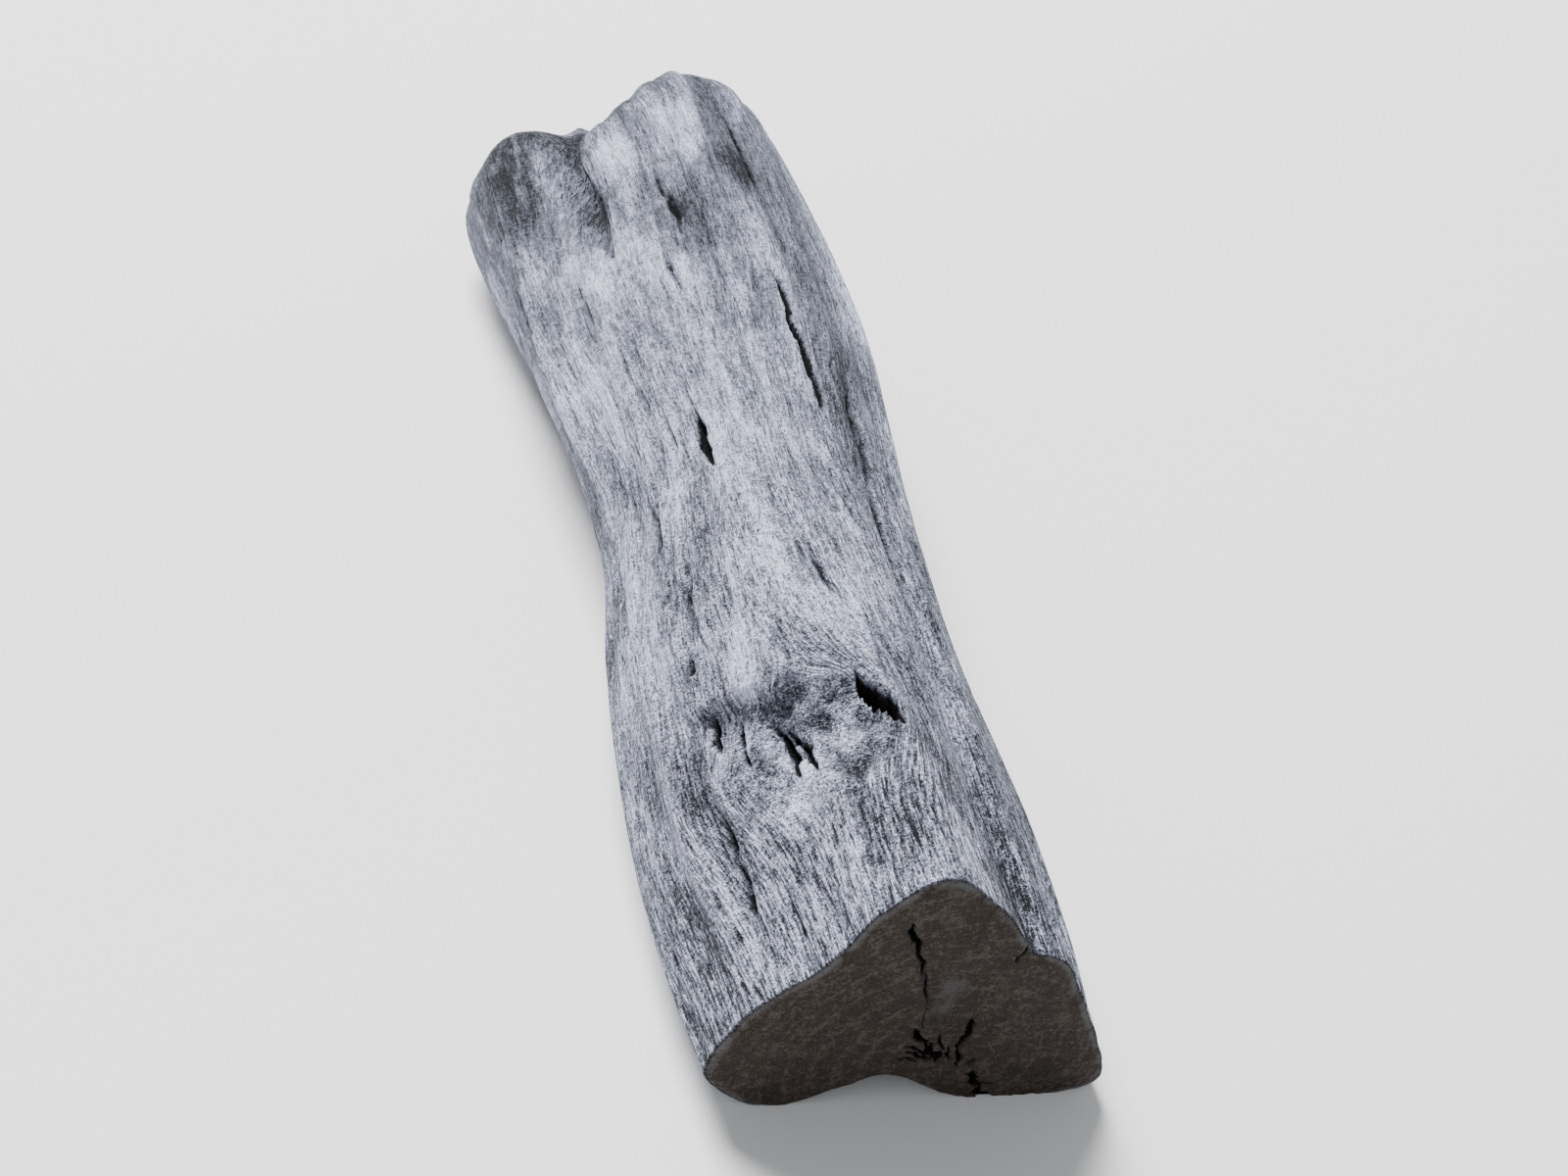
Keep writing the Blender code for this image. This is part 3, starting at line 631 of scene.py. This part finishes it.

# %% [markdown]
# ## Values for the finish
# Some of what the finish needs is known here and not in the shader: where the ash is stained or worn
# thin and where shade is painted on it, how the grain runs, how deep in a crack a point lies, how far it
# stands out, how far along it is, and whether it is on the cut face, its rim or the knot. These values
# become attributes of the mesh, so they stay with it wherever it goes.

# %% Stains and painted shade
# Each is its rib, place along, width in ribs, length and strength. Below 0 it is paler. Most are stains,
# but some are painted shade. Those at rib 3.7, and the two at 70 mm on ribs 10.3 and 10.8, darken the
# flanks. Those on ribs 8.0 to 8.4 from 156 mm on darken the lobe beside the fork's crease. The two at
# 201 and 206 mm darken the far end's rim.
STAINS_AND_SHADES = (
    (5.0, 187.0, 0.32, 13.0, 0.6), (4.75, 172.0, 0.35, 12.0, 0.45), (3.9, 182.0, 0.6, 20.0, 0.3),
    (4.4, 156.0, 0.6, 18.0, 0.5), (5.75, 158.0, 0.7, 15.0, 0.38), (5.2, 146.0, 0.5, 9.0, 0.3),
    (3.7, 130.0, 0.6, 24.0, 0.4), (10.25, 183.0, 0.35, 6.0, 0.5), (9.6, 171.0, 0.4, 5.0, 0.65),
    (9.3, 178.0, 0.25, 5.0, 0.4), (9.2, 199.0, 0.6, 6.0, 0.5), (9.9, 196.0, 0.4, 5.0, 0.45),
    (10.0, 190.0, 1.4, 24.0, 0.8), (9.7, 172.0, 1.2, 18.0, 0.3), (8.4, 192.0, 0.34, 18.0, 0.6),
    (8.2, 172.0, 0.24, 10.0, 0.55), (8.0, 156.0, 0.2, 9.0, 0.35), (4.4, 30.0, 1.2, 30.0, 0.15),
    (6.3, 206.0, 3.0, 4.0, 0.5), (7.0, 201.0, 2.4, 9.0, 0.42), (10.3, 70.0, 0.8, 70.0, 0.34),
    (7.95, 36.0, 0.18, 2.4, 0.4), (7.95, 30.5, 0.22, 3.6, 0.45), (7.4, 36.8, 0.25, 1.6, 0.35),
    (6.68, 31.5, 0.32, 2.8, 0.4), (9.2, 34.0, 0.2, 6.0, 0.4), (6.3, 8.0, 0.35, 3.0, 0.4),
    (5.2, 23.5, 0.4, 3.2, 0.55), (4.85, 19.0, 0.3, 3.0, 0.5), (5.6, 27.0, 0.3, 2.4, 0.4),
    (8.9, 20.0, 0.35, 14.0, 0.4), (10.2, 24.0, 0.4, 10.0, 0.35), (8.2, 60.0, 0.3, 12.0, 0.35),
    (8.6, 78.0, 0.3, 14.0, 0.25), (3.7, 60.0, 0.7, 70.0, 0.45), (4.3, 14.0, 0.7, 16.0, 0.3),
    (5.8, 104.0, 0.6, 7.0, 0.2), (6.75, 106.0, 0.25, 4.0, 0.25), (2.2, 60.0, 1.2, 60.0, 0.35),
    (1.0, 170.0, 1.2, 26.0, 0.4), (14.0, 90.0, 2.2, 70.0, 0.35), (12.0, 120.0, 1.0, 50.0, 0.3),
    (10.8, 70.0, 0.5, 22.0, 0.3), (6.7, 46.0, 1.6, 5.0, -0.25), (7.3, 27.0, 0.5, 5.0, -0.3),
    (7.45, 11.5, 0.3, 3.4, -0.35), (7.4, 18.0, 0.3, 2.6, -0.3), (5.7, 10.0, 0.4, 3.0, -0.22),
    (8.6, 120.0, 1.3, 24.0, -0.2), (7.2, 98.0, 1.3, 20.0, -0.24),
)
stain_and_shade = np.zeros_like(form)
for at_rib, at, width, length, strength in STAINS_AND_SHADES:
    stain_and_shade = stain_and_shade + strength * bell(rib_gap(rib[None, :], at_rib), width) * bell(along - at, length)

# Painted shadow under the brow's ledge joins the stains here, and the knot's scar is made a little darker.
stain_and_shade = stain_and_shade + 0.6 * brow_shade * (0.7 + 1.0 * noise(every_rib, along / 2.4, 58, 25)) + 0.28 * in_scar
stub_side = smooth_step(-8.0, -20.0, places[:, :, 0])
# Painted shade along the crease grows with its depth. The far end gets its own tone: darker overall, paler
# on its torn lumps and darker on the arm's side.
stain_and_shade = (stain_and_shade + 0.10 * crease) * (1 - on_end) + on_end * (0.4 - 0.3 * torn + 0.5 * stub_side)
print("stains reach from", round(float(stain_and_shade.min()), 2), "to", round(float(stain_and_shade.max()), 2))

# %% [markdown]
# A streak has to follow the grain and close round the stick. So the grain line becomes a turn round a
# plain cylinder, and noise is read there. On the far end, where the fibres are cut off, the grain is
# the place across the stick instead.

# %% Grain coordinates and the other values
END_GRAIN_MIDDLE = 20.0
turn = 2 * np.pi * grain_line / RIBS
girth = RIBS * RIB_GAP / (2 * np.pi)
grain = np.stack([girth * np.cos(turn), girth * np.sin(turn), along + 0 * turn], axis=2)
across_grain = np.stack([places[:, :, 0], places[:, :, 2] - END_GRAIN_MIDDLE, along + 2.0 * torn], axis=2)
grain = grain + (across_grain - grain) * on_end[:, :, None]
depths = np.where(on_face[:, None], 2.0 * face_cracks, cracks + ticks)
# The relief value makes the skin darker where it is low and paler where it is raised; over the knot's lumps
# this is painted shade.
raised = (fibres + 0.8 * (lumps + BROW_DROP * under_brow) + 1.2 * lips) * (1 - on_end)


def attribute(name, kind, field, values):
    """Stores one value for each point of the mesh under a name."""
    made = mesh.attributes.new(name, kind, "POINT")
    made.data.foreach_set(field, np.ascontiguousarray(values, dtype=np.float32).ravel())


attribute("grain", "FLOAT_VECTOR", "vector", spread(grain))
for name, values in (("crack", depths), ("cut_face", on_face[:, None]), ("rim", rim), ("stain_and_shade", stain_and_shade),
                     ("relief", raised), ("knot", np.maximum(in_scar, on_end)), ("along", along)):
    attribute(name, "FLOAT", "value", spread(values + 0 * form))
print("the finish reads", [a.name for a in mesh.attributes if a.domain == "POINT" and not a.is_internal])

# %% [markdown]
# ## The finish
# Shader sums are easier to read as Python sums, so a small class wraps a node's output. Adding or
# multiplying two of them adds a Math node. Any other node comes from one method, `node`.

# %% A class for shader sums
class Wire:
    """One output of a node, which can be added, multiplied and passed on."""

    def __init__(self, tree, socket):
        self.tree = tree
        self.socket = socket

    def node(self, kind, settings=None, inputs=None, out=0):
        """A new node: its type, its settings, then the values or wires of its inputs."""
        made = self.tree.nodes.new(kind)
        for name, value in (settings or {}).items():
            setattr(made, name, value)
        for key, value in (inputs or {}).items():
            if isinstance(value, Wire):
                self.tree.links.new(value.socket, made.inputs[key])
            else:
                made.inputs[key].default_value = value
        return Wire(self.tree, made.outputs[out])

    def math(self, operation, first, second=0.0):
        """A Math node on wires or numbers."""
        return self.node("ShaderNodeMath", {"operation": operation}, {0: first, 1: second})

    def __add__(self, other):
        return self.math("ADD", self, other)

    def __sub__(self, other):
        return self.math("SUBTRACT", self, other)

    def __rsub__(self, other):
        return self.math("SUBTRACT", other, self)

    def __mul__(self, other):
        return self.math("MULTIPLY", self, other)

    def __truediv__(self, other):
        return self.math("DIVIDE", self, other)

    def __rtruediv__(self, other):
        return self.math("DIVIDE", other, self)

    def __pow__(self, other):
        return self.math("POWER", self, other)

    def __rpow__(self, other):
        return self.math("POWER", other, self)

    __radd__ = __add__
    __rmul__ = __mul__

    def between(self, low, high):
        """0 up to low, 1 from high on, and an even curve between them."""
        inputs = {"Value": self, "From Min": low, "From Max": high}
        return self.node("ShaderNodeMapRange", {"interpolation_type": "SMOOTHSTEP"}, inputs)

    def scaled(self, *scale):
        """A vector stretched by a factor on each axis."""
        return self.node("ShaderNodeVectorMath", {"operation": "MULTIPLY"}, {0: self, 1: scale})

    def noise(self, scale, detail=2.0, roughness=0.55, distortion=0.0):
        """Noise between 0 and 1 at this vector."""
        inputs = {"Vector": self, "Scale": scale, "Detail": detail, "Roughness": roughness,
                  "Distortion": distortion}
        return self.node("ShaderNodeTexNoise", None, inputs)


def mix(first, second, factor):
    """One colour where the factor is 0 and another where it is 1."""
    made = factor.node("ShaderNodeMix", {"data_type": "RGBA"}, {"Factor": factor}, out=2)
    for number, colour in ((6, first), (7, second)):
        target = made.socket.node.inputs[number]
        if isinstance(colour, Wire):
            made.tree.links.new(colour.socket, target)
        else:
            target.default_value = (*colour, 1.0)
    return made


print("shader sums are ready")

# %% [markdown]
# The skin is black charcoal with ash rubbed into it. Ash lies thick on the raised fibres and thin in
# the grooves, so the same grain drives both colour and height: broad patches, long streaks, dark
# dashes under a millimetre wide, finer threads between them, and specks and grit that follow nothing.

# %% Colours of the skin, and the noise that it is made of
ASH = (0.62, 0.645, 0.83)
ASH_GREY = (0.141, 0.150, 0.193)
CHAR = (0.014, 0.015, 0.019)
# Darker than the char itself: painted shade deep in the cracks.
CRACK_SHADE = (0.004, 0.004, 0.005)

skin = bpy.data.materials.new("ashy_charcoal")
skin.use_nodes = True
tree = skin.node_tree
shader = tree.nodes["Principled BSDF"]
place = Wire(tree, tree.nodes.new("ShaderNodeTexCoord").outputs["Object"])


def read(name, out=2):
    """A mesh attribute: output 2 is a number and output 1 a vector."""
    return place.node("ShaderNodeAttribute", {"attribute_name": name}, None, out)


grain_at = read("grain", 1)
patches = grain_at.scaled(0.10, 0.10, 0.045).noise(1.0, 3.0, 0.6)
streaks = grain_at.scaled(0.42, 0.42, 0.05).noise(1.0, 3.0, 0.6, 0.4)
dashes = grain_at.scaled(1.25, 1.25, 0.11).noise(1.0, 3.0, 0.65, 0.2)
threads = grain_at.scaled(3.1, 3.1, 0.36).noise(1.0, 2.0, 0.6)
specks = place.scaled(1500.0, 1500.0, 1500.0).noise(1.0, 2.0, 0.7)
grit = place.scaled(3800.0, 3800.0, 3800.0).noise(1.0, 1.0, 0.6)
mottle = place.scaled(330.0, 330.0, 330.0).noise(1.0, 3.0, 0.7)
crack = read("crack")
cut_face = read("cut_face")
stained_and_shaded = read("stain_and_shade")
height = read("relief")
knot = read("knot")
along_at = read("along")
print("the skin reads its noise and values from", len(tree.nodes), "nodes")

# %% [markdown]
# All of these add up to one number, the amount of ash, with painted shade in it: the relief's low places,
# the band under the brow, the crease, the flanks and the far end's rim are darker. It turns from char
# through grey to pale ash. Near the cut face the ash is thinner and its lines are stronger, and in the far
# half they are softer. Inside cracks there is no ash, and deep in them a painted shade goes darker than
# char.

# %% Ash with painted shade, streaks and fibres
ASH_LEVEL = 0.80
NEAR_CUT = (6.0, 40.0)          # millimetres along
FAR_HALF = (60.0, 150.0)
CRACK_OPENS = (0.1, 1.15)       # millimetres deep
fibre = (dashes - 0.5) + 2.0 * (threads - 0.5)
lines = fibre * (1.0 - knot) + (mottle - 0.5) * knot * 1.2
near_cut = 1.0 - along_at.between(*NEAR_CUT)
far_off = along_at.between(*FAR_HALF)
ash_and_shade = (ASH_LEVEL - 0.30 * near_cut + (2.1 + 0.5 * far_off) * (patches - 0.5)
       + (1.4 + 0.2 * far_off) * (streaks - 0.5) + 0.9 * far_off * (mottle - 0.5)
       + (1.5 + 0.9 * near_cut - 0.6 * far_off) * lines
       + (2.2 + 1.0 * knot - 0.6 * far_off) * (specks - 0.5) + (3.0 - 2.2 * far_off) * (grit - 0.5)
       + 0.9 * height - stained_and_shaded * (0.25 + 1.1 * mottle))
ash_and_shade_colour = mix(CHAR, ASH_GREY, ash_and_shade.between(-0.6, 0.6))
ash_and_shade_colour = mix(ash_and_shade_colour, ASH, ash_and_shade.between(0.3, 1.7))
# Deep in a crack the skin takes the painted shade; the ash is missing there.
open_crack = (crack + 1.6 * (specks - 0.5) + 0.9 * (threads - 0.5)).between(*CRACK_OPENS)
side_colour = mix(ash_and_shade_colour, CRACK_SHADE, open_crack)
print("ash over charcoal is made of", len(tree.nodes), "nodes")

# %% [markdown]
# The cut face is bare charcoal, a warm brown-black. Growth rings run round the pith, fine rays cross
# them, a dusty patch lies to the right of the long crack, and a thin paler band runs along the edge.

# %% Colours of the cut face, and the way from its pith
FACE_BROWN = (0.027, 0.0205, 0.0165)
FACE_LIGHT = (0.066, 0.054, 0.047)
FACE_DUST = (0.060, 0.056, 0.055)
FACE_PALE_EDGE = (0.085, 0.082, 0.084)
pith_place = in_frame((PITH[0], 0.0, PITH[1] - SETTLE))

off_pith = place.node("ShaderNodeVectorMath", {"operation": "SUBTRACT"}, {0: place, 1: pith_place})
split_up = off_pith.node("ShaderNodeSeparateXYZ", None, {0: off_pith}).socket.node
right_of = Wire(tree, split_up.outputs[0]) / MM
above = Wire(tree, split_up.outputs[2]) / MM
far = (right_of * right_of + above * above) ** 0.5
way = place.math("ARCTAN2", above, right_of)


def polar(far_scale, way_scale):
    """Noise in rings or rays: it changes with the distance from the pith and the way from it."""
    at = place.node("ShaderNodeCombineXYZ", None, {0: far * far_scale, 1: way * way_scale, 2: 0.0})
    return at.noise(1.0, 3.0, 0.6)


print("the pith is at", [round(float(c) / MM, 1) for c in pith_place], "mm in the frame")

# %% Rings, rays, dust and the paler edge of the cut face
DUST_LEFT, DUST_UP = 5.0, 14.0      # millimetres from the pith
year_rings = polar(0.55, 0.7)
fine_rings = polar(2.6, 1.6)
rays = polar(0.06, 24.0)
arcs = place.math("SINE", far * 1.9 + 7.0 * year_rings).between(0.55, 1.0)
dust_right = right_of + DUST_LEFT
dust_up = above - DUST_UP
dust = 1.0 - ((dust_right * dust_right * 2.2 + dust_up * dust_up * 0.35) ** 0.5).between(1.0, 5.5)
face_tone = (0.36 + 1.6 * (mottle - 0.5) + 0.7 * (fine_rings - 0.5) + 0.4 * (rays - 0.5)
             + 2.6 * (specks - 0.5) + 2.0 * (grit - 0.5) + 0.22 * arcs)
face_colour = mix(FACE_BROWN, FACE_LIGHT, face_tone.between(0.2, 1.0))
face_colour = mix(face_colour, FACE_DUST, dust * mottle.between(0.35, 0.65))
pale_edge = read("rim").between(0.35, 0.9) * mottle.between(0.32, 0.62)
face_colour = mix(face_colour, FACE_PALE_EDGE, pale_edge)
# Painted shade: the cut face's cracks go black with their depth.
face_colour = mix(face_colour, CRACK_SHADE, crack.between(0.15, 0.9))
print("the cut face adds up to", len(tree.nodes), "nodes")

# %% [markdown]
# Charcoal is dull, ash is duller still, and the inside of a crack gives back nothing. What is too fine
# for the mesh, the grain of single fibres, is a bump of a fraction of a millimetre.

# %% Join the two and set the shine and bump
BUMP_DISTANCE = 0.001
GLOSS = 0.12
colour = mix(side_colour, face_colour, cut_face)
roughness = 0.72 + 0.14 * ash_and_shade.between(0.1, 0.7)
roughness = roughness + (1.0 - roughness) * open_crack
side_height = (1.5 * dashes + 1.5 * threads) * (1.0 - knot) + (0.45 + 0.8 * knot) * specks
side_height = side_height + 0.4 * mottle + 0.25 * grit
face_height = 0.1 * fine_rings + 0.5 * specks
bump_height = side_height * (1.0 - cut_face) + face_height * cut_face
bump = place.node("ShaderNodeBump", None, {"Strength": 1.0, "Distance": BUMP_DISTANCE,
                                              "Height": bump_height})
tree.links.new(colour.socket, shader.inputs["Base Color"])
tree.links.new(roughness.socket, shader.inputs["Roughness"])
tree.links.new(bump.socket, shader.inputs["Normal"])
shader.inputs["Specular IOR Level"].default_value = GLOSS
mesh.materials.append(skin)

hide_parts(NODE)
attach(fine_stick, "root")
print("the finish has", len(tree.nodes), "nodes")

# %% [markdown]
# ## Floor and light
# The photo has soft light from overhead, a little from behind. One large lamp gives that, two weak ones
# and a pale sky keep the shadows open, and a wide, plain, pale floor carries the stick.

# %% Floor
FLOOR_SIZE = 14.0
FLOOR_PALE = (0.80, 0.80, 0.80, 1.0)
FLOOR_ROUGHNESS = 0.9
floor_shape = bmesh.new()
bmesh.ops.create_grid(floor_shape, x_segments=8, y_segments=8, size=FLOOR_SIZE / 2)
floor_mesh = bpy.data.meshes.new("pale_floor")
floor_shape.to_mesh(floor_mesh)
floor_shape.free()
floor = bpy.data.objects.new("pale_floor", floor_mesh)
bpy.context.scene.collection.objects.link(floor)
pale = bpy.data.materials.new("pale_floor")
pale.use_nodes = True
pale.node_tree.nodes["Principled BSDF"].inputs["Base Color"].default_value = FLOOR_PALE
pale.node_tree.nodes["Principled BSDF"].inputs["Roughness"].default_value = FLOOR_ROUGHNESS
floor_mesh.materials.append(pale)
floor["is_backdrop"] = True
print("the floor is", FLOOR_SIZE, "m wide")

# %% Lights
# Each light is its name, place, width in metres and power in watts.
LIGHTS = (
    ("soft_overhead", (-0.66, 1.50, 1.98), 1.3, 225.0),
    ("left_fill", (-2.4, -0.75, 1.50), 1.8, 12.0),
    ("front_fill", (0.75, -2.7, 1.35), 2.1, 6.0),
)
LIT_PLACE = Vector((0, 0, 0.02))
SKY = (0.93, 0.96, 1.0, 1.0)
SKY_STRENGTH = 0.46
for name, stand, size, power in LIGHTS:
    light = bpy.data.lights.new(name, "AREA")
    light.shape = "DISK"
    light.size = size
    light.energy = power
    lamp = bpy.data.objects.new(name, light)
    bpy.context.scene.collection.objects.link(lamp)
    lamp.location = stand
    lamp.rotation_euler = (LIT_PLACE - lamp.location).to_track_quat("-Z", "Y").to_euler()
world = bpy.data.worlds.new("soft_studio")
world.use_nodes = True
world.node_tree.nodes["Background"].inputs["Color"].default_value = SKY
world.node_tree.nodes["Background"].inputs["Strength"].default_value = SKY_STRENGTH
bpy.context.scene.world = world
print(len(LIGHTS), "soft lights over a pale floor")

# %% [markdown]
# ## Camera
# The photo was taken close and from above. The camera stands where the photo's did, seen from the
# stick. It is turned, in a few rounds, until the stick is in the middle of the picture, and its lens
# is then chosen so that the stick fills most of it.

# %% Camera at the photo's place
FRAME_WIDTH, FRAME_HEIGHT = 1600.0, 1200.0
SENSOR = 36.0
FILL = 0.88
AIM_ROUNDS = 4
FIRST_AIM = Vector((0.0, -0.02, 0.02))
PHOTO_PLACE = Vector((-92.9, -127.0, 202.0))     # in the stick's own millimetres
PHOTO_UP = Vector((-0.0165, 0.7407, 0.6716))
eye = Vector(in_frame(PHOTO_PLACE - Vector((0.0, 0.0, SETTLE))))

sight = (FIRST_AIM - eye).normalized()
for _ in range(AIM_ROUNDS):
    right = sight.cross(PHOTO_UP).normalized()
    up = right.cross(sight)
    seen = points - np.array(eye)
    depth = seen @ np.array(sight)
    x = (seen @ np.array(right)) / depth
    y = (seen @ np.array(up)) / depth
    sight = (sight + right * (x.min() + x.max()) / 2 + up * (y.min() + y.max()) / 2).normalized()
half_width = max((x.max() - x.min()) / 2, (y.max() - y.min()) / 2 * FRAME_WIDTH / FRAME_HEIGHT) / FILL

camera_data = bpy.data.cameras.new("photo_camera")
camera_data.sensor_width = SENSOR
camera_data.lens = SENSOR / 2 / half_width
camera_data.clip_start = 0.01
camera = bpy.data.objects.new("photo_camera", camera_data)
bpy.context.scene.collection.objects.link(camera)
camera.matrix_world = Matrix.LocRotScale(eye, Matrix((right, up, -sight)).transposed(), None)
bpy.context.scene.camera = camera
print("the lens is", round(camera_data.lens, 1), "mm and the camera stands at", [round(c, 3) for c in eye])

# %% [markdown]
# ## Sizes
# The fine piece may not outgrow the solid. Here the box round everything shown, without the floor, is
# found.

# %% Find the box round everything shown
low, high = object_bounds()
